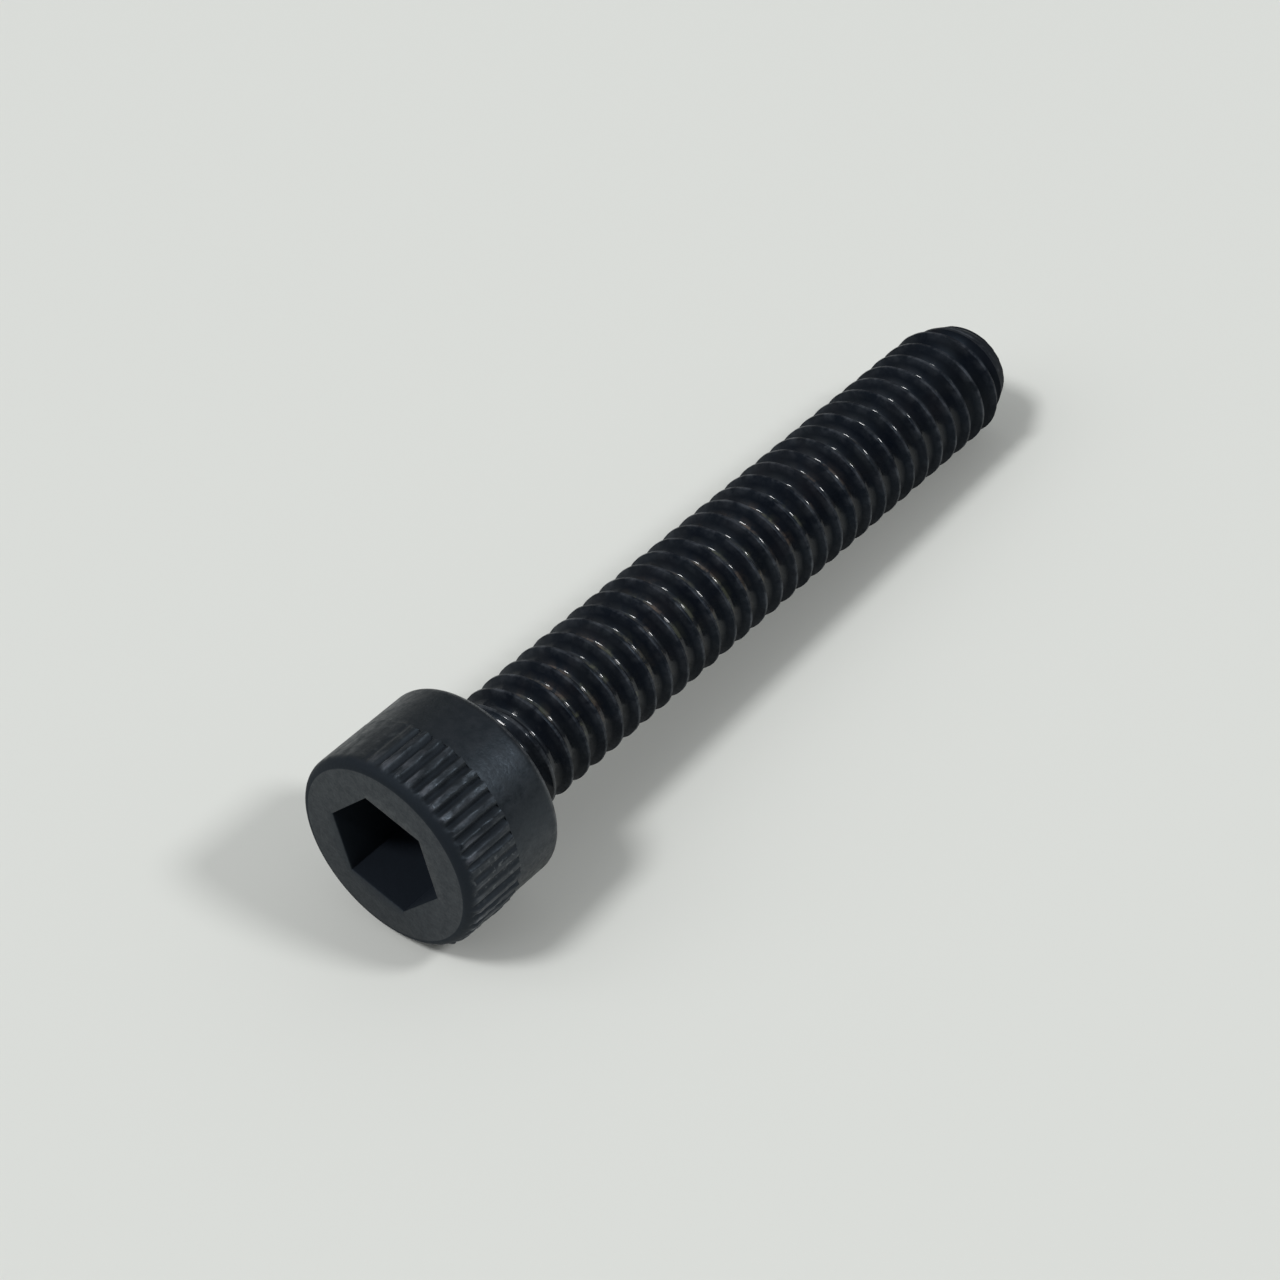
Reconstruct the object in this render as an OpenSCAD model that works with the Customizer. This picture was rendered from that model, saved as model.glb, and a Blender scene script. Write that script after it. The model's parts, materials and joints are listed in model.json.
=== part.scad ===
// Socket head cap screw, number 8-32 unified coarse thread, 1 inch long.
// It lies on its side: the rear end of the knurl and the last crest near the point touch the floor (z = 0).
// The screw's axis runs along +X, head at -X, and dips towards the point. Millimetres.

/* [Head] */
// Height of the head, from its flat top to the bearing face
head_height = 4.1; // [3.8:0.05:4.4]
// Diameter of the plain band behind the knurl
head_diameter = 6.57; // [6.2:0.01:7]
// Radius that rounds the front edge of the head
front_edge_radius = 0.4; // [0.2:0.02:0.6]
// Radius that rounds the rear edge of the head
rear_edge_radius = 0.35; // [0.1:0.05:0.6]
// Radius of the fillet between the bearing face and the neck
neck_fillet = 0.2; // [0.1:0.02:0.3]

/* [Knurl] */
// Number of straight knurl teeth around the head
knurl_teeth = 44; // [32:4:60]
// Diameter over the knurl crests
knurl_diameter = 6.79; // [6.7:0.01:7.1]
// Depth of the valleys between the knurl crests
knurl_depth = 0.17; // [0.08:0.01:0.25]
// Distance from the flat top to the rear end of the knurl
knurl_end = 2.16; // [1.4:0.02:3]
// Share of the tooth spacing that the crest takes
knurl_crest_share = 0.4; // [0.2:0.05:0.6]
// Share of the tooth spacing that the valley floor takes
knurl_floor_share = 0.2; // [0.1:0.05:0.4]

/* [Socket] */
// Width across the flats of the hexagon socket
socket_flats = 3.57; // [3:0.01:4]
// Depth of the hexagon's straight walls
socket_depth = 2.1; // [1.8:0.05:2.3]
// Depth of the dished floor below the straight walls
socket_dish = 0.3; // [0.1:0.05:0.4]
// Diameter of the level middle of the dished floor
socket_dish_middle = 0.8; // [0.2:0.1:2]
// Turn of the hexagon about the screw's axis, in degrees
socket_turn = 40.2; // [0:0.1:60]

/* [Shank and thread] */
// Length of the shank, from the bearing face to the point
shank_length = 25.4; // [12:0.1:50]
// Outside diameter of the thread
thread_diameter = 4.04; // [3.9:0.01:4.2]
// Distance from one thread crest to the next
thread_pitch = 0.79375; // [0.7:0.00125:1]
// Depth of the thread as a share of its pitch
thread_depth_share = 0.6134; // [0.5:0.01:0.65]
// Width of the crest flat as a share of the pitch
crest_share = 0.125; // [0.1:0.005:0.25]
// Distance from the bearing face to the first crest along the underside
first_crest = 0.639; // [0:0.01:1]
// Diameter of the plain neck below the head, which is the blank the thread is rolled on
neck_diameter = 3.64; // [3.5:0.01:3.8]
// Length of the plain neck
neck_length = 0.45; // [0.3:0.05:1]
// Length over which the thread grows from the neck to its full depth
runout_length = 0.95; // [0.4:0.05:2]
// Straight steps in one turn of the thread
steps_per_turn = 24; // [20:1:30]
// Length of the chamfer at the point
point_chamfer = 1.2; // [0.4:0.05:1.6]
// Diameter of the flat end of the point
point_diameter = 3.0; // [2.4:0.05:3.2]

/* [Hidden] */
$fn = 96;
eps = 0.02;
knurl_r = knurl_diameter / 2;
knurl_floor_r = knurl_r - knurl_depth;
// The front edge is turned on a blank a little wider than the knurl
front_r = knurl_r + eps;
flat_r = front_r - front_edge_radius;
band_r = head_diameter / 2;
neck_r = neck_diameter / 2;
crest_r = thread_diameter / 2;
groove_depth = thread_depth_share * thread_pitch;
tooth_angle = 360 / knurl_teeth;
socket_r = socket_flats / 2 / cos(30);

// The blank between crest and root: the thread rises above it and sinks below it
blank_r = neck_r - eps / 2;
// The flanks stand at 30 degrees, so each takes this share of the pitch
flank_share = thread_depth_share * tan(30);
// Corners of one pitch of thread as [share of the pitch, 0 on the crest and 1 on the root]
corners = [
    [-crest_share / 2, 0],
    [crest_share / 2, 0],
    [crest_share / 2 + flank_share, 1],
    [1 - crest_share / 2 - flank_share, 1]
];
corner_count = len(corners);
// The rod starts this many turns before the first crest, inside the head, and ends past the point
turns_before = 2;
turns_after = ceil((shank_length - first_crest) / thread_pitch) + 1;
rows = (turns_before + turns_after) * corner_count;
rod_from = first_crest - (turns_before + 0.5) * thread_pitch;
rod_to = first_crest + (turns_after + 1.5) * thread_pitch;

// Resting: the two lowest knurl crests and one straight step of the last full crest touch the floor
rest_knurl_r = knurl_r * cos(tooth_angle * (1 - knurl_crest_share) / 2);
rest_knurl_at = knurl_end - head_height;
rest_crest_r = crest_r * cos(180 / steps_per_turn);
rest_share = crest_share / 2 + 0.5 / steps_per_turn;
last_turn = floor((shank_length - point_chamfer - first_crest) / thread_pitch - rest_share);
rest_thread_at = first_crest + (last_turn + rest_share) * thread_pitch;
dip = atan((rest_knurl_r - rest_crest_r) / (rest_thread_at - rest_knurl_at));
axis_height = rest_knurl_r * cos(dip) + rest_knurl_at * sin(dip);
// Ends of the resting screw along X, from its rounded front edge and its point
rest_from = -(head_height - front_edge_radius) * cos(dip) - flat_r * sin(dip) - front_edge_radius;
rest_to = shank_length * cos(dip) + point_diameter / 2 * sin(dip);

// How much of the full depth the thread has at a distance from the bearing face
function grown(z) = min(1, max(0, (z - neck_length) / runout_length));

// Radius of the rod at a thread corner: it grows out of the blank both ways
function rod_radius(z, low) =
    blank_r + (low == 0 ? crest_r - blank_r : crest_r - groove_depth - blank_r) * grown(z);

// Angle of a step, half a step on from the underside so that a straight step lies flat on the floor
function step_angle(step) = 360 * (step + 0.5) / steps_per_turn;

// A point at a step's angle
function ring_point(step, r, z) = [r * cos(step_angle(step)), r * sin(step_angle(step)), z];

// A corner of the thread: step counts round the turn, row counts along the axis
function rod_point(step, row) =
    let(corner = corners[row % corner_count])
    let(turn = step_angle(step) / 360 + floor(row / corner_count) - turns_before)
    let(z = first_crest + thread_pitch * (turn + corner[0]))
    ring_point(step, rod_radius(z, corner[1]), z);

// Place of a step's corner in the list of points
function index(step, row) = step * rows + row;

// The threaded rod as one helical skin, with a flat ring at each end
module threaded_rod() {
    n = steps_per_turn;
    last = rows - 1;
    skin = [for (s = [0:n - 1]) for (m = [0:last]) rod_point(s, m)];
    low_ring = [for (s = [0:n - 1]) ring_point(s, blank_r, rod_from)];
    high_ring = [for (s = [0:n - 1]) ring_point(s, crest_r - groove_depth, rod_to)];
    low = n * rows;
    high = low + n;
    // Between two neighbouring steps the rows match one to one
    sides = [for (s = [0:n - 2]) for (m = [0:last - 1]) each [
        [index(s, m), index(s + 1, m), index(s + 1, m + 1)],
        [index(s, m), index(s + 1, m + 1), index(s, m + 1)]
    ]];
    // Where the turn closes, the last step meets the first one pitch further on
    closing = [for (m = [0:last - 1 - corner_count]) each [
        [index(n - 1, m), index(0, m + corner_count), index(0, m + 1 + corner_count)],
        [index(n - 1, m), index(0, m + 1 + corner_count), index(n - 1, m + 1)]
    ]];
    low_wall = [for (s = [0:n - 2]) each [
        [low + s, low + s + 1, index(s + 1, 0)],
        [low + s, index(s + 1, 0), index(s, 0)]
    ]];
    low_step = [
        [low + n - 1, low, index(0, 0)],
        for (m = [0:corner_count - 1]) [low + n - 1, index(0, m), index(0, m + 1)],
        [low + n - 1, index(0, corner_count), index(n - 1, 0)]
    ];
    high_wall = [for (s = [0:n - 2]) each [
        [index(s, last), index(s + 1, last), high + s + 1],
        [index(s, last), high + s + 1, high + s]
    ]];
    high_step = [
        [index(n - 1, last - corner_count), index(0, last), high],
        for (m = [last - corner_count:last - 1]) [index(n - 1, m), high, index(n - 1, m + 1)],
        [index(n - 1, last), high, high + n - 1]
    ];
    polyhedron(
        points = concat(skin, low_ring, high_ring),
        faces = concat(
            [for (f = concat(sides, closing, low_wall, low_step, high_wall, high_step)) [f[2], f[1], f[0]]],
            [[for (s = [0:n - 1]) low + s]],
            [[for (s = [0:n - 1]) high + n - 1 - s]]
        )
    );
}

// Half section of the smooth part of the head, with its rounded rear edge
module head_section() {
    difference() {
        union() {
            translate([0, -head_height + knurl_end - eps])
                square([band_r, head_height - knurl_end + eps - rear_edge_radius]);
            translate([0, -rear_edge_radius - eps])
                square([band_r - rear_edge_radius, rear_edge_radius + eps]);
            translate([band_r - rear_edge_radius, -rear_edge_radius])
                circle(r = rear_edge_radius);
        }
        translate([-2 * band_r, -head_height])
            square([2 * band_r, 2 * head_height]);
    }
}

// Half section of the neck with the fillet that joins it to the bearing face
module neck_section() {
    translate([0, -0.5])
        square([neck_r, neck_length + 0.5]);
    difference() {
        translate([neck_r - eps, -0.1])
            square([neck_fillet + eps, neck_fillet + 0.1]);
        translate([neck_r + neck_fillet, neck_fillet])
            circle(r = neck_fillet);
    }
}

// Cross section of the knurled band: flat-topped teeth with a valley on the underside
module knurl_section() {
    crest = tooth_angle * knurl_crest_share / 2;
    side = tooth_angle * (1 - knurl_floor_share) / 2;
    polygon([for (t = [0:knurl_teeth - 1]) let(mid = (t + 0.5) * tooth_angle) each [
        knurl_floor_r * [cos(mid - side), sin(mid - side)],
        knurl_r * [cos(mid - crest), sin(mid - crest)],
        knurl_r * [cos(mid + crest), sin(mid + crest)],
        knurl_floor_r * [cos(mid + side), sin(mid + side)]
    ]]);
}

// Half section of the front of the head, measured from its flat top
module front_section() {
    square([flat_r, knurl_end + 1]);
    translate([0, front_edge_radius])
        square([front_r, knurl_end + 1]);
    translate([flat_r, front_edge_radius])
        circle(r = front_edge_radius);
}

// The knurled front of the head, turned to its rounded edge
module knurled_front() {
    translate([0, 0, -head_height])
        intersection() {
            linear_extrude(height = knurl_end)
                knurl_section();
            rotate_extrude()
                front_section();
        }
}

// The hexagon socket with its dished floor
module socket() {
    translate([0, 0, -head_height - 1])
        rotate([0, 0, socket_turn])
            cylinder(h = socket_depth + 1, r = socket_r, $fn = 6);
    translate([0, 0, -head_height + socket_depth - eps])
        cylinder(h = socket_dish + eps, r1 = socket_flats / 2 - eps, r2 = socket_dish_middle / 2);
}

// The thread cut to length, with the chamfer at its point
module shank() {
    slope = (crest_r - point_diameter / 2) / point_chamfer;
    intersection() {
        threaded_rod();
        rotate_extrude()
            polygon([
                [0, rod_from - 1],
                [crest_r + 1, rod_from - 1],
                [crest_r + 1, shank_length - point_chamfer - 1 / slope],
                [point_diameter / 2, shank_length],
                [0, shank_length]
            ]);
    }
}

module screw() {
    difference() {
        union() {
            knurled_front();
            rotate_extrude()
                union() {
                    head_section();
                    neck_section();
                }
            shank();
        }
        socket();
    }
}

module cap_screw() {
    color([0.1, 0.11, 0.12])
        translate([-(rest_from + rest_to) / 2, 0, axis_height])
            rotate([0, 90 + dip, 0])
                screw();
}

cap_screw();
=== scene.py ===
import json
import math
import bpy
import numpy as np
from mathutils import Euler, Matrix, Vector


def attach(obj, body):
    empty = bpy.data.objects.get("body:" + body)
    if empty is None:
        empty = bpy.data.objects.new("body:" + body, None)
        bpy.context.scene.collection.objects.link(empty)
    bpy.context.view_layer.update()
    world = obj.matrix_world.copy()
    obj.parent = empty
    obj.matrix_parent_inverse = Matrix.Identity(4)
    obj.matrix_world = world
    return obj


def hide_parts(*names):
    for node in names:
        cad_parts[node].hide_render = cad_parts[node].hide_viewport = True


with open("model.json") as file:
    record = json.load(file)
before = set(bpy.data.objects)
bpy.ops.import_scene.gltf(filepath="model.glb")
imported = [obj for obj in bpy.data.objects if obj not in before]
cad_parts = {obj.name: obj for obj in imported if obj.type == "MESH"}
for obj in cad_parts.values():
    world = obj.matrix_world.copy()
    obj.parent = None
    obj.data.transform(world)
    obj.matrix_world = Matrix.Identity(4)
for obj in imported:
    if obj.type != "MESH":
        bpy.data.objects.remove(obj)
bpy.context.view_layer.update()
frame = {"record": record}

# The screw is modelled in millimetres in its own frame: +Z towards the point,
# the bearing face at z = 0 and +X towards the floor. The thread mount gives its place.
mounts = {mount["name"]: mount for mount in frame["record"]["mounts"]}
bearing = Vector(mounts["thread"]["pos_m"])
axis = Vector(mounts["thread"]["axis"]).normalized()
side = Vector((0, 1, 0))
down = side.cross(axis)
millimetre = 0.001
turnToRow = Matrix((down, side, axis)).transposed().to_4x4()
toRow = Matrix.Translation(bearing) @ turnToRow @ Matrix.Scale(millimetre, 4)


def setSocket(node, place, value):
    if isinstance(value, bpy.types.NodeSocket):
        node.id_data.links.new(value, node.inputs[place])
    else:
        node.inputs[place].default_value = value


def addNode(tree, kind, inputs=None, **settings):
    node = tree.nodes.new(kind)
    for name, value in settings.items():
        setattr(node, name, value)
    for place, value in (inputs or {}).items():
        setSocket(node, place, value)
    return node


def calc(tree, operation, *values):
    return addNode(tree, "ShaderNodeMath", dict(enumerate(values)), operation=operation).outputs[0]


def product(tree, value, *factors):
    for factor in factors:
        value = calc(tree, "MULTIPLY", value, factor)
    return value


def whole(tree, operation, *values):
    return addNode(tree, "FunctionNodeIntegerMath", dict(enumerate(values)), operation=operation).outputs[0]


def ramp(tree, value, low, high, first=0.0, last=1.0, kind="LINEAR"):
    # first at low, last at high, and level beyond them
    places = {0: value, 1: low, 2: high, 3: first, 4: last}
    return addNode(tree, "ShaderNodeMapRange", places, interpolation_type=kind).outputs[0]


def join(tree, x, y, z):
    return addNode(tree, "ShaderNodeCombineXYZ", {0: x, 1: y, 2: z}).outputs[0]


def addNoise(tree, place, scale, detail, rough=0.5):
    places = {"Vector": place, "Scale": scale, "Detail": detail, "Roughness": rough}
    return addNode(tree, "ShaderNodeTexNoise", places).outputs["Fac"]


def onCircle(tree, angle, radius, along):
    x = product(tree, calc(tree, "COSINE", angle), radius)
    y = product(tree, calc(tree, "SINE", angle), radius)
    return join(tree, x, y, along)


def readNamed(tree, label):
    return addNode(tree, "GeometryNodeInputNamedAttribute", {"Name": label}, data_type="FLOAT").outputs[0]


def storeValue(tree, geometry, label, value, kind="FLOAT"):
    places = {"Geometry": geometry, "Name": label, "Value": value}
    return addNode(tree, "GeometryNodeStoreNamedAttribute", places, data_type=kind, domain="POINT").outputs[0]


def newTree(name, sizes):
    # every size becomes a named input
    tree = bpy.data.node_groups.new(name, "GeometryNodeTree")
    tree.interface.new_socket("Geometry", in_out="INPUT", socket_type="NodeSocketGeometry")
    tree.interface.new_socket("Geometry", in_out="OUTPUT", socket_type="NodeSocketGeometry")
    for label, value in sizes.items():
        kind = "NodeSocketInt" if isinstance(value, int) else "NodeSocketFloat"
        tree.interface.new_socket(label, in_out="INPUT", socket_type=kind)
    tree.interface.new_socket("Material", in_out="INPUT", socket_type="NodeSocketMaterial")
    return tree, tree.nodes.new("NodeGroupInput").outputs, tree.nodes.new("NodeGroupOutput").inputs


def endTree(tree, geometry, material, result):
    real = addNode(tree, "GeometryNodeRealizeInstances", {"Geometry": geometry}).outputs[0]
    painted = addNode(tree, "GeometryNodeSetMaterial", {"Geometry": real, "Material": material}).outputs[0]
    tree.links.new(painted, result["Geometry"])


def growMesh(piece, tree, sizes, material):
    # runs the tree once with its sizes set and keeps the result as a plain mesh
    modifier = piece.modifiers.new(tree.name, "NODES")
    modifier.node_group = tree
    values = {**sizes, "Material": material}
    for item in tree.interface.items_tree:
        if item.in_out == "INPUT" and item.name in values:
            modifier[item.identifier] = values[item.name]
    piece.update_tag()
    bpy.context.view_layer.update()
    grown = bpy.data.meshes.new_from_object(piece.evaluated_get(bpy.context.evaluated_depsgraph_get()))
    grown.name = piece.name
    # a grid brings an empty slot with it
    grown.materials.clear()
    grown.materials.append(material)
    grown.polygons.foreach_set("material_index", [0] * len(grown.polygons))
    piece.modifiers.clear()
    old = piece.data
    piece.data = grown
    bpy.data.meshes.remove(old)


def addPiece(name, mesh):
    piece = bpy.data.objects.new(name, mesh)
    bpy.context.scene.collection.objects.link(piece)
    return piece


def mixValue(tree, factor, first, second):
    return addNode(tree, "ShaderNodeMix", {0: factor, 2: first, 3: second}).outputs[0]


def mixColour(tree, factor, first, second):
    return addNode(tree, "ShaderNodeMix", {0: factor, 6: first, 7: second}, data_type="RGBA").outputs[2]


def readAttribute(tree, label, output="Fac"):
    return addNode(tree, "ShaderNodeAttribute", attribute_name=label).outputs[output]


# spans are the stretches of a noise's values over which a ramp runs
oxideLook = {
    "cloudSpan": (0.35, 0.65), "cloudShare": 0.6, "roughSpan": (0.38, 0.62),
    "stainSpan": (0.45, 0.65), "stainSize": 0.4, "driftSpan": (0.44, 0.56), "driftSize": 0.35,
}


def startOxide(name, look):
    # black oxide with clouds, grain and rubbed edges, which are partly wear and partly painted highlight, as
    # far as both pieces share it
    material = bpy.data.materials.new(name)
    material.use_nodes = True
    tree = material.node_tree
    skin = readAttribute(tree, "skin", "Vector")
    stretch = (1, 1, look["drawnOut"])
    drawn = addNode(tree, "ShaderNodeVectorMath", {0: skin, 1: stretch}, operation="MULTIPLY").outputs[0]
    clouds = addNoise(tree, skin, look["cloudScale"], detail=3, rough=0.6)
    grain = addNoise(tree, skin, look["grainScale"], detail=4, rough=0.6)
    wearAndHighlightNoise = addNoise(tree, drawn, look["wearAndHighlightScale"], detail=3, rough=0.65)

    cloudy = ramp(tree, clouds, *oxideLook["cloudSpan"])
    colour = mixColour(tree, cloudy, look["darkColour"], look["paleColour"])
    rubbedAndLit = ramp(tree, wearAndHighlightNoise, look["wearAndHighlightFrom"], look["wearAndHighlightTo"])
    # worn marks rubbed crests, lighter in colour as partly wear and partly painted highlight, and the lighter
    # rear rim
    worn = product(tree, readAttribute(tree, "wearAndHighlight"), rubbedAndLit)
    colour = mixColour(tree, worn, colour, look["wornAndLitColour"])

    cloudShare = oxideLook["cloudShare"]
    uneven = calc(tree, "MULTIPLY_ADD", grain, 1 - cloudShare, product(tree, clouds, cloudShare))
    rough = ramp(tree, uneven, *oxideLook["roughSpan"], look["roughLow"], look["roughHigh"])
    rough = mixValue(tree, worn, rough, look["wornAndLitRough"])

    relief = calc(tree, "MULTIPLY_ADD", grain, look["grainShare"], clouds)
    bump = addNode(tree, "ShaderNodeBump", {
        "Strength": look["bumpStrength"], "Distance": look["bumpDistance"], "Height": relief})
    shader = tree.nodes["Principled BSDF"]
    shader.inputs["Specular IOR Level"].default_value = look["specular"]
    shader.inputs["Specular Tint"].default_value = look["tint"]
    tree.links.new(bump.outputs[0], shader.inputs["Normal"])
    return material, skin, colour, rough


def oilStain(tree, skin, look):
    # dried oil stains the surface faintly: how much, and in which colour
    stains = addNoise(tree, skin, look["oilScale"] * oxideLook["stainSize"], detail=2)
    amount = ramp(tree, stains, *oxideLook["stainSpan"], 0.0, look["stain"])
    drift = addNoise(tree, skin, look["oilScale"] * oxideLook["driftSize"], detail=1)
    drift = ramp(tree, drift, *oxideLook["driftSpan"])
    return amount, mixColour(tree, drift, look["brownTint"], look["greenTint"])


def finishOxide(tree, colour, rough):
    shader = tree.nodes["Principled BSDF"]
    tree.links.new(colour, shader.inputs["Base Color"])
    tree.links.new(rough, shader.inputs["Roughness"])
    return shader


headLook = {
    "darkColour": (0.0032, 0.0042, 0.0060, 1), "paleColour": (0.0082, 0.0088, 0.0108, 1),
    "cloudScale": 3.2, "grainScale": 11.0, "grainShare": 0.25,
    # the colour of rubbed crests, partly wear and partly painted highlight, and of the lighter rear rim
    "wornAndLitColour": (0.072, 0.077, 0.09, 1), "wornAndLitRough": 0.36,
    "wearAndHighlightScale": 5.0, "wearAndHighlightFrom": 0.42, "wearAndHighlightTo": 0.62, "drawnOut": 0.25,
    "brownTint": (0.04, 0.032, 0.027, 1), "greenTint": (0.03, 0.034, 0.03, 1),
    "oilScale": 0.5, "stain": 0.1,
    "speckColour": (0.075, 0.08, 0.082, 1), "speckScale": 5.5, "speckFrom": 0.58, "speckTo": 0.66,
    # colours of painted shade in the knurl's valleys, on its bare front edge and in the socket
    "shadeColour": (0.0032, 0.0044, 0.007, 1), "insideColour": (0.0046, 0.0064, 0.0105, 1),
    "roughLow": 0.34, "roughHigh": 0.56, "mattRough": 0.85,
    "specular": 0.48, "tint": (0.67, 0.83, 1.0, 1),
    "bumpStrength": 0.5, "bumpDistance": 0.000025,
}
threadLook = {
    "darkColour": (0.0036, 0.0051, 0.0088, 1), "paleColour": (0.0062, 0.0078, 0.0114, 1),
    "cloudScale": 1.2, "grainScale": 7.0, "grainShare": 0.6,
    # the colour of rubbed crest lines, partly wear and partly painted highlight
    "wornAndLitColour": (0.056, 0.062, 0.073, 1), "wornAndLitRough": 0.34,
    "wearAndHighlightScale": 2.2, "wearAndHighlightFrom": 0.42, "wearAndHighlightTo": 0.75, "drawnOut": 1.0,
    "brownTint": (0.085, 0.064, 0.051, 1), "greenTint": (0.06, 0.064, 0.045, 1),
    "oilScale": 1.9, "stain": 0.04, "patchSpan": (0.44, 0.58), "widerSpan": (0.4, 0.55), "widerSize": 0.3,
    "roughLow": 0.38, "roughHigh": 0.52, "mattRough": 0.75, "filmRough": 0.09,
    "specular": 0.16, "tint": (0.6, 0.79, 1.0, 1),
    "bumpStrength": 0.2, "bumpDistance": 0.00003,
}


def headOxide(look):
    material, skin, colour, rough = startOxide("head oxide", look)
    tree = material.node_tree
    amount, hue = oilStain(tree, skin, look)
    colour = mixColour(tree, amount, colour, hue)
    # dented and shallow places of the knurl are speckled
    specks = addNoise(tree, skin, look["speckScale"], detail=2, rough=0.6)
    specks = ramp(tree, specks, look["speckFrom"], look["speckTo"])
    speckled = product(tree, specks, readAttribute(tree, "dented"))
    colour = mixColour(tree, speckled, colour, look["speckColour"])
    # valleys, the bare front edge and the socket get painted shade: darker, and duller too
    paintedShade, inside = readAttribute(tree, "paintedShade"), readAttribute(tree, "inside")
    colour = mixColour(tree, paintedShade, colour, look["shadeColour"])
    colour = mixColour(tree, inside, colour, look["insideColour"])
    dull = calc(tree, "MAXIMUM", paintedShade, inside)
    finishOxide(tree, colour, mixValue(tree, dull, rough, look["mattRough"]))
    return material


def threadOxide(look):
    material, skin, colour, rough = startOxide("thread oxide", look)
    tree = material.node_tree
    amount, hue = oilStain(tree, skin, look)
    # brown and olive patches in the bottom of the thread, patches within wider patches
    patches = addNoise(tree, skin, look["oilScale"], detail=4, rough=0.65)
    wider = addNoise(tree, skin, look["oilScale"] * look["widerSize"], detail=1)
    patchy = product(tree, ramp(tree, patches, *look["patchSpan"]), ramp(tree, wider, *look["widerSpan"]))
    rootPatches = product(tree, readAttribute(tree, "rootPatches"), patchy)
    colour = mixColour(tree, calc(tree, "MAXIMUM", rootPatches, amount), colour, hue)
    # cut metal at the point is duller
    rough = mixValue(tree, readAttribute(tree, "matt"), rough, look["mattRough"])
    shader = finishOxide(tree, colour, rough)
    # a film of oil shines in the roots
    tree.links.new(readAttribute(tree, "film"), shader.inputs["Coat Weight"])
    shader.inputs["Coat Roughness"].default_value = look["filmRough"]
    return material


headMaterial = headOxide(headLook)
threadMaterial = threadOxide(threadLook)
print("materials made")


shankSizes = {
    "Length": 25.4, "Pitch": 0.79375, "Crest radius": 2.02, "Depth": 0.45, "Root radius": 0.15,
    "First crest": 0.639, "Crest rounding": 0.03,
    "Neck radius": 1.82, "Neck length": 0.45, "Run-out": 0.95,
    "Point chamfer": 1.2, "Point radius": 1.5, "Start": -0.3, "Cap": 0.5,
    "Unevenness": 0.048, "Bump level": 0.6, "Bump scale": 1.6, "Bump circle": 2.0,
    # fine ridges of the rolling dies, and where along the shank they come and go
    "Ridge spacing": 0.19, "Ridge height": 0.012, "Ridge film": 0.6,
    "Ridges begin": 0.5, "Ridges full": 0.65, "Ridges fade": 1.2, "Ridges end": 1.35,
    # brown and olive patches lie in the roots near the head, and a wet film nearly to the point
    "Patches begin": 1.6, "Patches full": 2.6, "Patches fade": 14.0, "Patches end": 20.0,
    "Wetness": 0.85, "Film fades": 22.0, "Film ends": 23.4,
    # shares of the thread's depth, 0 on the crest and 1 in the root
    "Rubbed and lit to": 0.1, "Film from": 0.7, "Film full": 0.85, "Patched from": 0.9, "Patched full": 0.97,
    "Cut width": 0.02, "Merge distance": 0.0005,
    "Steps": 96, "Rows": 16, "Turns": 36, "Turns before": 3,
}
threadAngle = math.radians(60)
# shares of the pitch at which the rows of one turn stand, from one crest to the next
crestToRoot = [0.0, 0.04, 0.06, 0.08, 0.22, 0.374, 0.41, 0.452, 0.5]
rowShares = crestToRoot + [1 - share for share in crestToRoot[-2:0:-1]]


def placeInPitch(tree, part, shares):
    # evenly numbered rows take their shares of the pitch
    curve = addNode(tree, "ShaderNodeFloatCurve", {"Value": part})
    points = curve.mapping.curves[0].points
    points[0].location, points[1].location = (0, 0), (1, 1)
    for number, share in list(enumerate(shares))[1:]:
        points.new(number / len(shares), share)
    for point in points:
        point.handle_type = "VECTOR"
    curve.mapping.update()
    return curve.outputs[0]


def grooveDepth(tree, given, along, roundShare):
    # distance from the middle of the root, measured along the axis
    pitches = calc(tree, "DIVIDE", calc(tree, "SUBTRACT", along, given["First crest"]), given["Pitch"])
    phase = calc(tree, "SUBTRACT", pitches, roundShare)
    fromCrest = calc(tree, "ABSOLUTE", calc(tree, "SUBTRACT", phase, calc(tree, "ROUND", phase)))
    fromRoot = product(tree, calc(tree, "SUBTRACT", 0.5, fromCrest), given["Pitch"])
    # a round root, straight flanks and a slightly rounded crest
    inArc = calc(tree, "MINIMUM", fromRoot, product(tree, given["Root radius"], math.cos(threadAngle / 2)))
    squares = [calc(tree, "POWER", length, 2) for length in (given["Root radius"], inArc)]
    arc = calc(tree, "SQRT", calc(tree, "SUBTRACT", *squares))
    climb = product(tree, calc(tree, "SUBTRACT", fromRoot, inArc), 1 / math.tan(threadAngle / 2))
    centre = calc(tree, "SUBTRACT", given["Depth"], given["Root radius"])
    depth = calc(tree, "SUBTRACT", calc(tree, "ADD", centre, arc), climb)
    return calc(tree, "SMOOTH_MAX", depth, 0.0, given["Crest rounding"])


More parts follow.
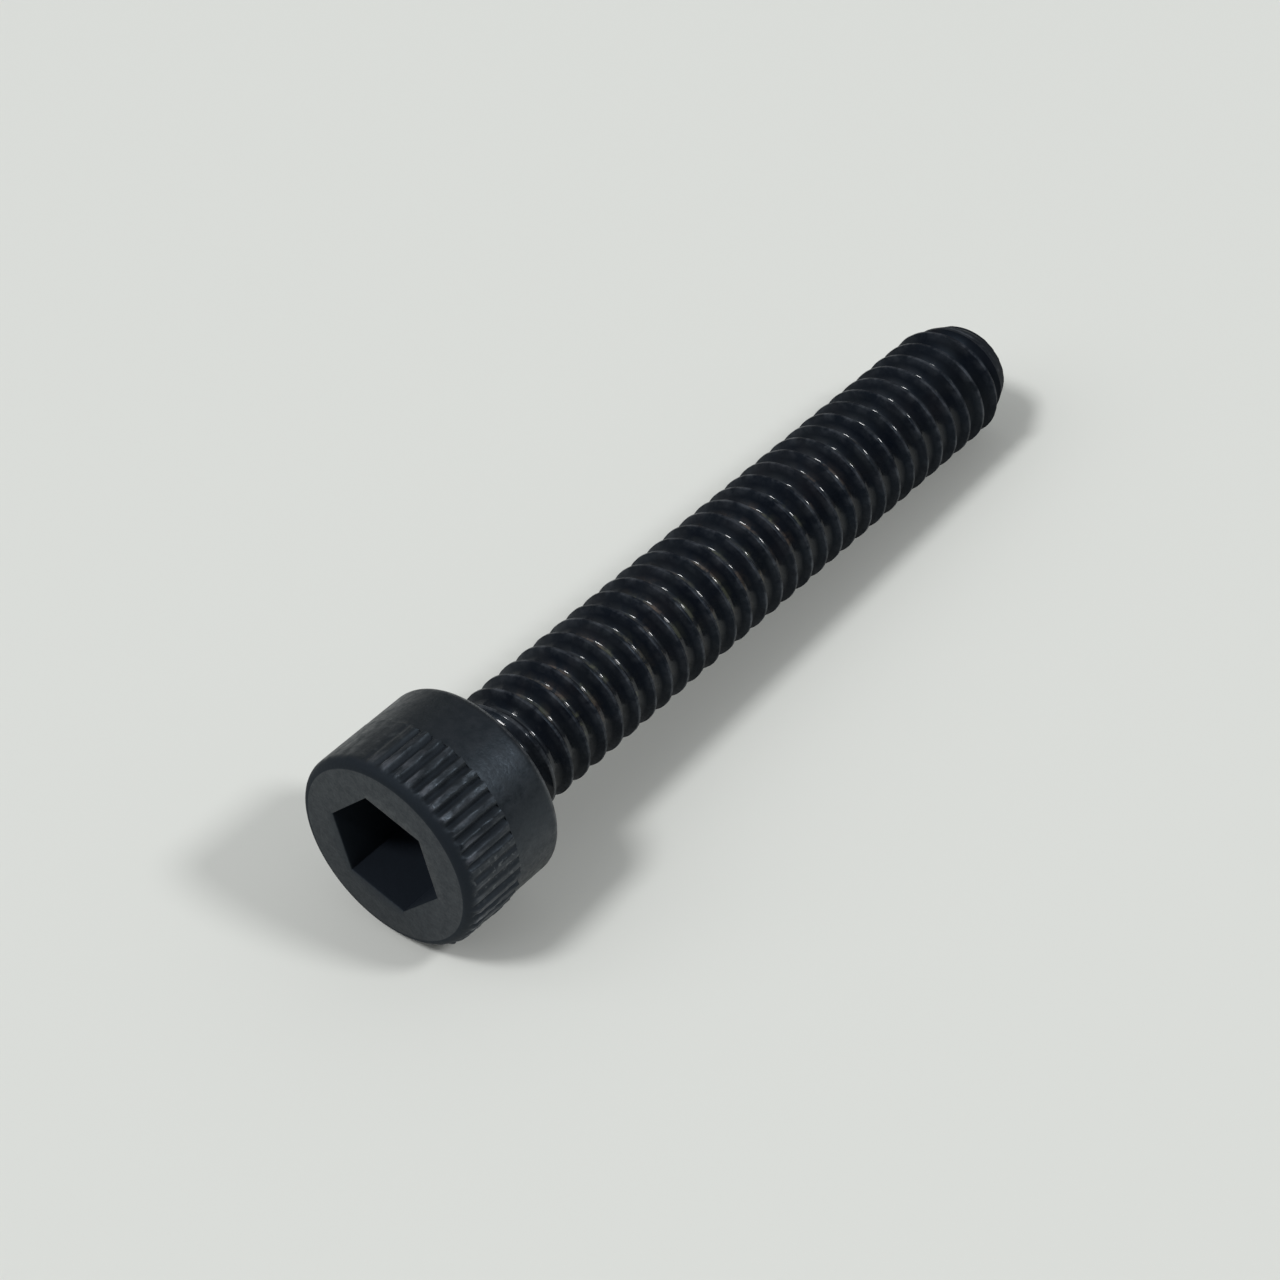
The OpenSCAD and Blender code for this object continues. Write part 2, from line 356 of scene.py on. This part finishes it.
def threadTree(sizes, shares):
    tree, given, result = newTree("rolled thread", sizes)

    # a grid wound up: columns go round, rows go along
    index = tree.nodes.new("GeometryNodeInputIndex").outputs[0]
    columnCount = whole(tree, "ADD", given["Steps"], 1)
    rowCount = whole(tree, "ADD", whole(tree, "MULTIPLY", given["Turns"], given["Rows"]), 1)
    grid = addNode(tree, "GeometryNodeMeshGrid", {"Vertices X": columnCount, "Vertices Y": rowCount})
    roundShare = calc(tree, "DIVIDE", whole(tree, "DIVIDE_FLOOR", index, rowCount), given["Steps"])
    row = whole(tree, "MODULO", index, rowCount)
    turn = whole(tree, "SUBTRACT", whole(tree, "DIVIDE_FLOOR", row, given["Rows"]), given["Turns before"])
    part = calc(tree, "DIVIDE", whole(tree, "MODULO", row, given["Rows"]), given["Rows"])
    turned = calc(tree, "ADD", calc(tree, "ADD", roundShare, turn), placeInPitch(tree, part, shares))
    free = calc(tree, "MULTIPLY_ADD", turned, given["Pitch"], given["First crest"])
    along = calc(tree, "MINIMUM", calc(tree, "MAXIMUM", free, given["Start"]), given["Length"])

    # the thread grows out of the blank behind the head
    depth = grooveDepth(tree, given, along, roundShare)
    threadRadius = calc(tree, "SUBTRACT", given["Crest radius"], depth)
    runOutEnd = calc(tree, "ADD", given["Neck length"], given["Run-out"])
    grown = ramp(tree, along, given["Neck length"], runOutEnd, kind="SMOOTHSTEP")
    full = calc(tree, "SUBTRACT", threadRadius, given["Neck radius"])
    radius = calc(tree, "MULTIPLY_ADD", full, grown, given["Neck radius"])

    # fine ridges where the rolling dies run out
    ridged = product(tree, ramp(tree, along, given["Ridges begin"], given["Ridges full"]),
                     ramp(tree, along, given["Ridges end"], given["Ridges fade"]))
    wave = calc(tree, "SINE", product(tree, calc(tree, "DIVIDE", along, given["Ridge spacing"]), math.tau))
    radius = calc(tree, "MULTIPLY_ADD", product(tree, wave, ridged), given["Ridge height"], radius)

    # slight unevenness of the rolled surface
    angle = product(tree, roundShare, math.tau)
    around = onCircle(tree, angle, given["Bump circle"], along)
    bumps = addNoise(tree, around, given["Bump scale"], detail=3.0)
    uneven = calc(tree, "MINIMUM", calc(tree, "SUBTRACT", bumps, given["Bump level"]), 0.0)
    radius = calc(tree, "ADD", product(tree, uneven, given["Unevenness"]), radius)

    # the point's chamfer, then the flat end and the hidden start, which close on the axis
    taper = calc(tree, "SUBTRACT", given["Crest radius"], given["Point radius"])
    slope = calc(tree, "DIVIDE", taper, given["Point chamfer"])
    fromEnd = calc(tree, "SUBTRACT", given["Length"], along)
    cone = calc(tree, "MULTIPLY_ADD", fromEnd, slope, given["Point radius"])
    over = calc(tree, "ABSOLUTE", calc(tree, "SUBTRACT", free, along))
    closing = calc(tree, "SUBTRACT", 1.0, calc(tree, "DIVIDE", over, given["Cap"]))
    radius = product(tree, calc(tree, "MINIMUM", radius, cone), calc(tree, "MAXIMUM", closing, 0.0))
    position = onCircle(tree, angle, radius, along)

    # where the crests are rubbed and carry painted highlight, where the roots get brown and olive patches and
    # a wet film, and where the chamfer is cut
    share = calc(tree, "DIVIDE", depth, given["Depth"])
    offEnds = calc(tree, "LESS_THAN", over, 0.0001)  # not on the flat ends
    rootPatched = product(tree, ramp(tree, share, given["Patched from"], given["Patched full"]),
                   ramp(tree, along, given["Patches begin"], given["Patches full"]))
    fading = product(tree, ramp(tree, along, given["Patches end"], given["Patches fade"]), offEnds)
    wet = product(tree, ramp(tree, share, given["Film from"], given["Film full"], 0.0, given["Wetness"]),
                  ramp(tree, along, given["Film ends"], given["Film fades"]))
    marks = {
        "wearAndHighlight": product(tree, ramp(tree, share, given["Rubbed and lit to"], 0.0), offEnds),
        "rootPatches": product(tree, rootPatched, fading),
        "matt": ramp(tree, calc(tree, "SUBTRACT", threadRadius, cone), 0.0, given["Cut width"]),
        "film": calc(tree, "MAXIMUM", wet, product(tree, ridged, given["Ridge film"])),
    }
    shown = grid.outputs["Mesh"]
    for label, value in marks.items():
        shown = storeValue(tree, shown, label, value)
    shown = storeValue(tree, shown, "skin", position, "FLOAT_VECTOR")
    shown = addNode(tree, "GeometryNodeSetPosition", {"Geometry": shown, "Position": position}).outputs[0]
    merging = {"Geometry": shown, "Distance": given["Merge distance"]}
    shown = addNode(tree, "GeometryNodeMergeByDistance", merging).outputs[0]
    shown = addNode(tree, "GeometryNodeSetShadeSmooth", {"Geometry": shown}).outputs[0]
    endTree(tree, shown, given["Material"], result)
    return tree


shank = addPiece("threaded_shank", bpy.data.meshes.new("threaded_shank"))
growMesh(shank, threadTree(shankSizes, rowShares), shankSizes, threadMaterial)
print("shank made", len(shank.data.vertices), "vertices")


# the head starts as a smooth blank with its socket, and is then knurled
headSizes = {
    "height": 4.1, "flatRadius": 3.0, "bandRadius": 3.295, "rearRadius": 0.35, "knurlEnd": 2.16,
    "neckRadius": shankSizes["Neck radius"], "filletRadius": 0.2,
    "socketFlats": 3.57, "socketDepth": 2.1, "mouthEdge": 0.04, "mouthBulge": 0.3,
    "floorRim": 0.02, "floorChamfer": (0.008, 0.012), "endInset": 0.1, "endRise": 0.01,
    # radius and depth of the rings of the socket's dished floor
    "dish": ((0.02, 0.3), (0.4, 0.3), (0.9, 0.19), (1.4, 0.08)),
    # where the other rings stand: in the socket, on the two flat faces, on the knurl and on the band
    "socketRings": (1.6, 1.1, 0.6, 0.3, 0.1), "faceRings": (2.3, 2.6, 2.85), "bearingRings": (2.6, 2.3),
    "edgeRings": (0.002, 0.01, 0.025, 0.045, 0.07, 0.1, 0.13, 0.16, 0.19, 0.22, 0.26, 0.3, 0.34, 0.385),
    "knurlFrom": 0.45, "knurlStep": 0.1, "knurlMargins": (0.04, 0.015),
    "bandRings": (-1.8, -1.4, -1.0, -0.7, -0.5), "rearSteps": 10, "filletSteps": 5,
    "columns": 528, "hexColumn": 59, "rimLighter": 0.5, "rimReach": 0.2,
}


def quarterTurn(steps):
    return [math.radians(90 * number / steps) for number in range(steps + 1)]


def headRows(sizes):
    # one row per ring from the socket's floor to the neck: radius, z, share of hexagon, share of knurl
    top = -sizes["height"]
    bottom = top + sizes["socketDepth"]
    flats = sizes["socketFlats"] / 2
    inward, outward = sizes["floorChamfer"]
    edge = sizes["mouthEdge"]
    bulge = edge * sizes["mouthBulge"]
    rows = [(radius, bottom + depth, 0, 0) for radius, depth in sizes["dish"]]
    rows += [(flats - sizes["floorRim"], bottom, 0, 0)]
    rows += [(flats - inward, bottom, 1, 0), (flats, bottom - outward, 1, 0)]
    rows += [(flats, top + depth, 1, 0) for depth in sizes["socketRings"] + (edge,)]
    rows += [(flats + bulge, top + bulge, 1, 0), (flats + edge, top, 1, 0)]
    rows += [(radius, top, 0, 0) for radius in sizes["faceRings"] + (sizes["flatRadius"],)]

    end, step = sizes["knurlEnd"], sizes["knurlStep"]
    depths = [*sizes["edgeRings"], *np.arange(sizes["knurlFrom"], end - step / 2, step)]
    depths += [end - margin for margin in sizes["knurlMargins"]]
    band, rear = sizes["bandRadius"], sizes["rearRadius"]
    rows += [(band, top + depth, 0, 1) for depth in depths]
    rows += [(band, z, 0, 0) for z in (top + end,) + sizes["bandRings"]]
    rows += [(band - rear + rear * math.cos(turn), -rear + rear * math.sin(turn), 0, 0)
             for turn in quarterTurn(sizes["rearSteps"])]

    neck, fillet = sizes["neckRadius"], sizes["filletRadius"]
    rows += [(radius, 0, 0, 0) for radius in sizes["bearingRings"]]
    rows += [(neck + fillet - fillet * math.sin(turn), fillet - fillet * math.cos(turn), 0, 0)
             for turn in quarterTurn(sizes["filletSteps"])]
    # the last two rings close the head inside the shank
    closed = fillet + sizes["endRise"]
    rows += [(neck - sizes["endInset"], closed, 0, 0), (sizes["dish"][0][0], closed, 0, 0)]
    return np.array(rows)


def headMesh(sizes):
    rows = headRows(sizes)
    radii, heights, hexagon, knurl = rows.T
    count = sizes["columns"]
    turns = np.arange(count) * math.tau / count
    hexTurn = sizes["hexColumn"] * math.tau / count
    sixth = math.tau / 6
    toHex = 1 / np.cos((turns - hexTurn) % sixth - sixth / 2)
    radius = radii[:, None] * (1 + hexagon[:, None] * (toHex[None] - 1))
    columns = (radius * np.cos(turns), radius * np.sin(turns), np.repeat(heights[:, None], count, 1))
    points = np.stack(columns, -1).reshape(-1, 3)
    # the two ends close on the axis
    ends = [(0, 0, heights[0]), (0, 0, heights[-1])]

    last = len(rows) - 1
    start = len(rows) * count
    faces = []
    for row in range(last):
        here, above = row * count, (row + 1) * count
        for column in range(count):
            after = (column + 1) % count
            faces.append((here + column, here + after, above + after, above + column))
    for column in range(count):
        after = (column + 1) % count
        faces.append((start, after, column))
        faces.append((start + 1, last * count + column, last * count + after))
    mesh = bpy.data.meshes.new("head")
    mesh.from_pydata(np.vstack([points, ends]).tolist(), [], faces)

    # what belongs to the knurl, the socket and the rear rim, ring by ring and for the two ends
    inSocket = (radii <= sizes["socketFlats"] / 2) & (heights < 0)
    rimRadius = sizes["bandRadius"] - sizes["rearRadius"]
    onRim = (heights > -sizes["rimReach"]) & (radii > rimRadius) & (knurl == 0)
    marks = {
        "knurl": (knurl, [0, 0]),
        # the socket's rings get painted shade
        "inside": (inSocket * 1.0, [1, 0]),
        # the rear rim is drawn lighter
        "rim": (onRim * sizes["rimLighter"], [0, 0]),
    }
    for label, (rings, atEnds) in marks.items():
        values = np.append(np.repeat(rings, count), atEnds).astype(np.float32)
        mesh.attributes.new(label, "FLOAT", "POINT").data.foreach_set("value", values)
    mesh.update()
    return mesh


knurlSizes = {
    "Teeth": 44, "Crest radius": 3.385, "Valley radius": 3.235, "Crest share": 0.4, "Floor share": 0.1,
    "Blank radius": 3.3, "Flat radius": headSizes["flatRadius"], "Edge radius": 0.36,
    "Front": -headSizes["height"], "Teeth from": 0.13, "Teeth to": 0.37, "Ragged start": 0.3,
    "Rear end": -1.94, "End spread": 0.3, "End reach": 0.45, "End full": 0.05, "Chance spacing": 3.7,
    "Unevenness": 0.18, "Valley unevenness": 0.6, "Bump level": 0.42, "Bump scale": 2.2,
    # three sides differ: a mark is full where the cosine of the turn away from its side reaches
    # the inner value, and gone at the outer one
    "Shallow side": math.radians(135), "Shallow inner": 0.9, "Shallow outer": 0.77,
    "Shallow depth": 0.04, "Shallow specks": 0.3,
    "Dented side": math.radians(-101), "Dented inner": 0.99, "Dented outer": 0.97,
    "Dented depth": 0.5, "Dented specks": 1.9,
    "Scuffed side": math.radians(98.2), "Scuffed inner": 0.995, "Scuffed outer": 0.985,
    # crests are rubbed, most near the front, where they also carry painted highlight; valleys and the bare
    # front edge get painted shade
    "Rubbed and lit from": 0.8, "Rubbed and lit near": 0.5, "Rubbed and lit far": 1.1, "Rubbed and lit least": 0.25,
    "Valley shade": 0.8, "Edge shade": 0.85,
}


def onOneSide(tree, angle, given, name, first=1.0, last=0.0):
    # first at the middle of the side, last away from it
    nearness = calc(tree, "COSINE", calc(tree, "SUBTRACT", angle, given[name + " side"]))
    return ramp(tree, nearness, given[name + " inner"], given[name + " outer"], first, last)


def knurlTree(sizes):
    tree, given, result = newTree("straight knurl", sizes)
    place = tree.nodes.new("GeometryNodeInputPosition").outputs[0]
    x, y, z = addNode(tree, "ShaderNodeSeparateXYZ", {0: place}).outputs
    angle = calc(tree, "ARCTAN2", y, x)
    beat = product(tree, calc(tree, "DIVIDE", angle, math.tau), given["Teeth"])
    nearest = calc(tree, "ROUND", beat)
    # 0 in the middle of a valley, 0.5 in the middle of a crest
    share = calc(tree, "ABSOLUTE", calc(tree, "SUBTRACT", beat, nearest))
    lowEnd = product(tree, given["Floor share"], 0.5)
    highEnd = calc(tree, "SUBTRACT", 0.5, product(tree, given["Crest share"], 0.5))
    rise = ramp(tree, share, lowEnd, highEnd)

    # no two valleys end at quite the same place
    which = join(tree, product(tree, nearest, given["Chance spacing"]), 0.0, 0.0)
    chance = calc(tree, "SUBTRACT", addNoise(tree, which, scale=1.0, detail=0.0), 0.5)
    offEnd = calc(tree, "ABSOLUTE", calc(tree, "SUBTRACT", z, given["Rear end"]))
    nearEnd = ramp(tree, offEnd, given["End reach"], given["End full"])
    shift = product(tree, chance, given["End spread"], nearEnd)

    # worn crests, and less deep or dented valleys on some sides
    bumps = addNoise(tree, place, given["Bump scale"], detail=3.0, rough=0.6)
    worn = calc(tree, "MAXIMUM", calc(tree, "SUBTRACT", bumps, given["Bump level"]), 0.0)
    worn = product(tree, worn, given["Unevenness"])
    crest = calc(tree, "SUBTRACT", given["Crest radius"], worn)
    valley = calc(tree, "MULTIPLY_ADD", worn, given["Valley unevenness"], given["Valley radius"])
    toothRadius = calc(tree, "MULTIPLY_ADD", calc(tree, "SUBTRACT", crest, valley), rise, valley)
    tooth = calc(tree, "SUBTRACT", toothRadius, given["Blank radius"])
    shallow = onOneSide(tree, angle, given, "Shallow", given["Shallow depth"], 1.0)
    dents = onOneSide(tree, angle, given, "Dented", given["Dented depth"], 1.0)

    # the teeth grow out of the blank behind the rounded front edge
    fromFront = calc(tree, "SUBTRACT", z, given["Front"])
    ragged = calc(tree, "MULTIPLY_ADD", chance, given["Ragged start"], fromFront)
    begun = ramp(tree, ragged, given["Teeth from"], given["Teeth to"], kind="SMOOTHSTEP")
    toothed = product(tree, begun, calc(tree, "MINIMUM", shallow, dents))
    lack = calc(tree, "SUBTRACT", 1.0, calc(tree, "DIVIDE", fromFront, given["Edge radius"]))
    lack = calc(tree, "MAXIMUM", lack, 0.0)
    arc = calc(tree, "SQRT", calc(tree, "SUBTRACT", 1.0, product(tree, lack, lack)))
    edgeWidth = calc(tree, "SUBTRACT", given["Blank radius"], given["Flat radius"])
    blank = calc(tree, "MULTIPLY_ADD", edgeWidth, arc, given["Flat radius"])
    cut = calc(tree, "MULTIPLY_ADD", tooth, toothed, blank)

    # only the knurl's own rings take the new radius
    knurled = readNamed(tree, "knurl")
    now = calc(tree, "SQRT", calc(tree, "ADD", calc(tree, "POWER", x, 2), calc(tree, "POWER", y, 2)))
    wanted = calc(tree, "MULTIPLY_ADD", calc(tree, "SUBTRACT", cut, now), knurled, now)
    factor = calc(tree, "DIVIDE", wanted, calc(tree, "MAXIMUM", now, 0.001))  # the axis itself has no radius
    position = join(tree, product(tree, x, factor), product(tree, y, factor), calc(tree, "ADD", z, shift))

    # rubbed crests with painted highlight, two scuffed low teeth, painted shade in the valleys and on the
    # bare front edge, and speckled sides
    onCrest = ramp(tree, rise, given["Rubbed and lit from"], 1.0)
    ahead = ramp(tree, fromFront, given["Rubbed and lit far"], given["Rubbed and lit near"], given["Rubbed and lit least"], 1.0)
    rubbedAndLit = product(tree, onCrest, toothed, ahead)
    scuffed = product(tree, onCrest, onOneSide(tree, angle, given, "Scuffed"), begun)
    rubbedAndLit = product(tree, calc(tree, "MAXIMUM", rubbedAndLit, scuffed), knurled)
    # painted shade: valleys and the bare front edge are darkened
    valleyShade = product(tree, calc(tree, "SUBTRACT", 1.0, rise), knurled, toothed, given["Valley shade"])
    edgeShade = product(tree, calc(tree, "SUBTRACT", 1.0, begun), product(tree, knurled, given["Edge shade"]))
    specks = calc(tree, "MAXIMUM", product(tree, calc(tree, "SUBTRACT", 1.0, dents), given["Dented specks"]),
                  product(tree, calc(tree, "SUBTRACT", 1.0, shallow), given["Shallow specks"]))
    marks = {
        "wearAndHighlight": calc(tree, "MAXIMUM", rubbedAndLit, readNamed(tree, "rim")),
        "paintedShade": calc(tree, "MAXIMUM", valleyShade, edgeShade),
        "dented": product(tree, specks, knurled, begun),
    }
    shown = given["Geometry"]
    for label, value in marks.items():
        shown = storeValue(tree, shown, label, value)
    shown = storeValue(tree, shown, "skin", position, "FLOAT_VECTOR")
    shown = addNode(tree, "GeometryNodeSetPosition", {"Geometry": shown, "Position": position}).outputs[0]
    endTree(tree, shown, given["Material"], result)
    return tree


head = addPiece("head", headMesh(headSizes))
growMesh(head, knurlTree(knurlSizes), knurlSizes, headMaterial)
print("head made", len(head.data.vertices), "vertices")


def placePiece(piece, sharpAngle):
    mesh = piece.data
    mesh.transform(toRow)
    points = np.empty(len(mesh.vertices) * 3, np.float32)
    mesh.vertices.foreach_get("co", points)
    points = points.reshape(-1, 3)
    # the lowest crests settle on the floor
    points[:, 2] = np.maximum(points[:, 2], 0)
    mesh.vertices.foreach_set("co", points.ravel())
    mesh.update()
    mesh.shade_smooth()
    mesh.set_sharp_from_angle(angle=math.radians(sharpAngle))
    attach(piece, "root")
    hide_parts("cap_screw")


placePiece(shank, sharpAngle=38)
placePiece(head, sharpAngle=34)
print("pieces placed")


floorLook = {"size": 6.0, "colour": (0.715, 0.728, 0.700, 1), "roughness": 0.7, "specular": 0.2}
half = floorLook["size"] / 2
corners = [(-half, -half, 0), (half, -half, 0), (half, half, 0), (-half, half, 0)]
floorMesh = bpy.data.meshes.new("floor")
floorMesh.from_pydata(corners, [], [(0, 1, 2, 3)])
floor = addPiece("floor", floorMesh)
floorMaterial = bpy.data.materials.new("pale floor")
floorMaterial.use_nodes = True
floorShader = floorMaterial.node_tree.nodes["Principled BSDF"]
floorShader.inputs["Base Color"].default_value = floorLook["colour"]
floorShader.inputs["Roughness"].default_value = floorLook["roughness"]
floorShader.inputs["Specular IOR Level"].default_value = floorLook["specular"]
floorMesh.materials.append(floorMaterial)

lamps = [
    {"name": "right lamp", "azimuth": -61, "elevation": 49, "level": 0.26, "spread": 11, "glints": True},
    {"name": "left lamp", "azimuth": 154, "elevation": 57.5, "level": 0.36, "spread": 12, "glints": True},
    {"name": "soft lamp", "azimuth": 148, "elevation": 44, "level": 0.13, "spread": 50, "glints": False},
]
lampDistance = 0.4
for lamp in lamps:
    sun = bpy.data.lights.new(lamp["name"], "SUN")
    turn, rise = math.radians(lamp["azimuth"]), math.radians(lamp["elevation"])
    # the level is what reaches the floor
    sun.energy = lamp["level"] * math.pi / math.sin(rise)
    sun.angle = math.radians(lamp["spread"])
    holder = addPiece(lamp["name"], sun)
    towards = Vector((math.cos(turn) * math.cos(rise), math.sin(turn) * math.cos(rise), math.sin(rise)))
    holder.rotation_euler = towards.to_track_quat("Z", "Y").to_euler()
    holder.location = towards * lampDistance
    holder.visible_glossy = lamp["glints"]

# the light comes from above, and less of it from the side where someone stands
roomLook = {
    "colour": (0.97, 1.0, 1.0, 1), "horizon": 0.05, "overhead": 0.47, "overheadHeight": 0.9,
    "quietSide": (-0.533, -0.431, 0.728), "quietFrom": 0.5, "quietTo": 0.93, "quietShare": 0.15,
}
world = bpy.data.worlds.new("room")
world.use_nodes = True
room = world.node_tree
sky = room.nodes["Background"]
sky.inputs["Color"].default_value = roomLook["colour"]
lookup = addNode(room, "ShaderNodeTexCoord").outputs["Generated"]
height = addNode(room, "ShaderNodeSeparateXYZ", {0: lookup}).outputs["Z"]
above = ramp(room, height, 0.0, roomLook["overheadHeight"], roomLook["horizon"], roomLook["overhead"])
facing = addNode(room, "ShaderNodeVectorMath", {0: lookup, 1: roomLook["quietSide"]}, operation="DOT_PRODUCT")
facing = facing.outputs["Value"]
shaded = ramp(room, facing, roomLook["quietFrom"], roomLook["quietTo"], 1.0, roomLook["quietShare"])
room.links.new(product(room, above, shaded), sky.inputs["Strength"])
bpy.context.scene.world = world

# heading is the way it looks, from +X towards +Y, and dip is how far it looks down
cameraLook = {
    "location": (-0.059209, -0.045533, 0.079836), "heading": 38.9581, "dip": 46.7369,
    "lens": 95.97, "sensor": 36, "nearest": 0.005, "furthest": 10,
}
cameraData = bpy.data.cameras.new("camera")
cameraData.sensor_width = cameraLook["sensor"]
cameraData.lens = cameraLook["lens"]
cameraData.clip_start = cameraLook["nearest"]
cameraData.clip_end = cameraLook["furthest"]
camera = addPiece("camera", cameraData)
tilt, swing = math.radians(90 - cameraLook["dip"]), math.radians(cameraLook["heading"] - 90)
turned = Euler((tilt, 0, swing)).to_matrix().to_4x4()
camera.matrix_world = Matrix.Translation(cameraLook["location"]) @ turned
bpy.context.scene.camera = camera
bpy.context.scene.view_settings.view_transform = "Standard"
print("stage made")
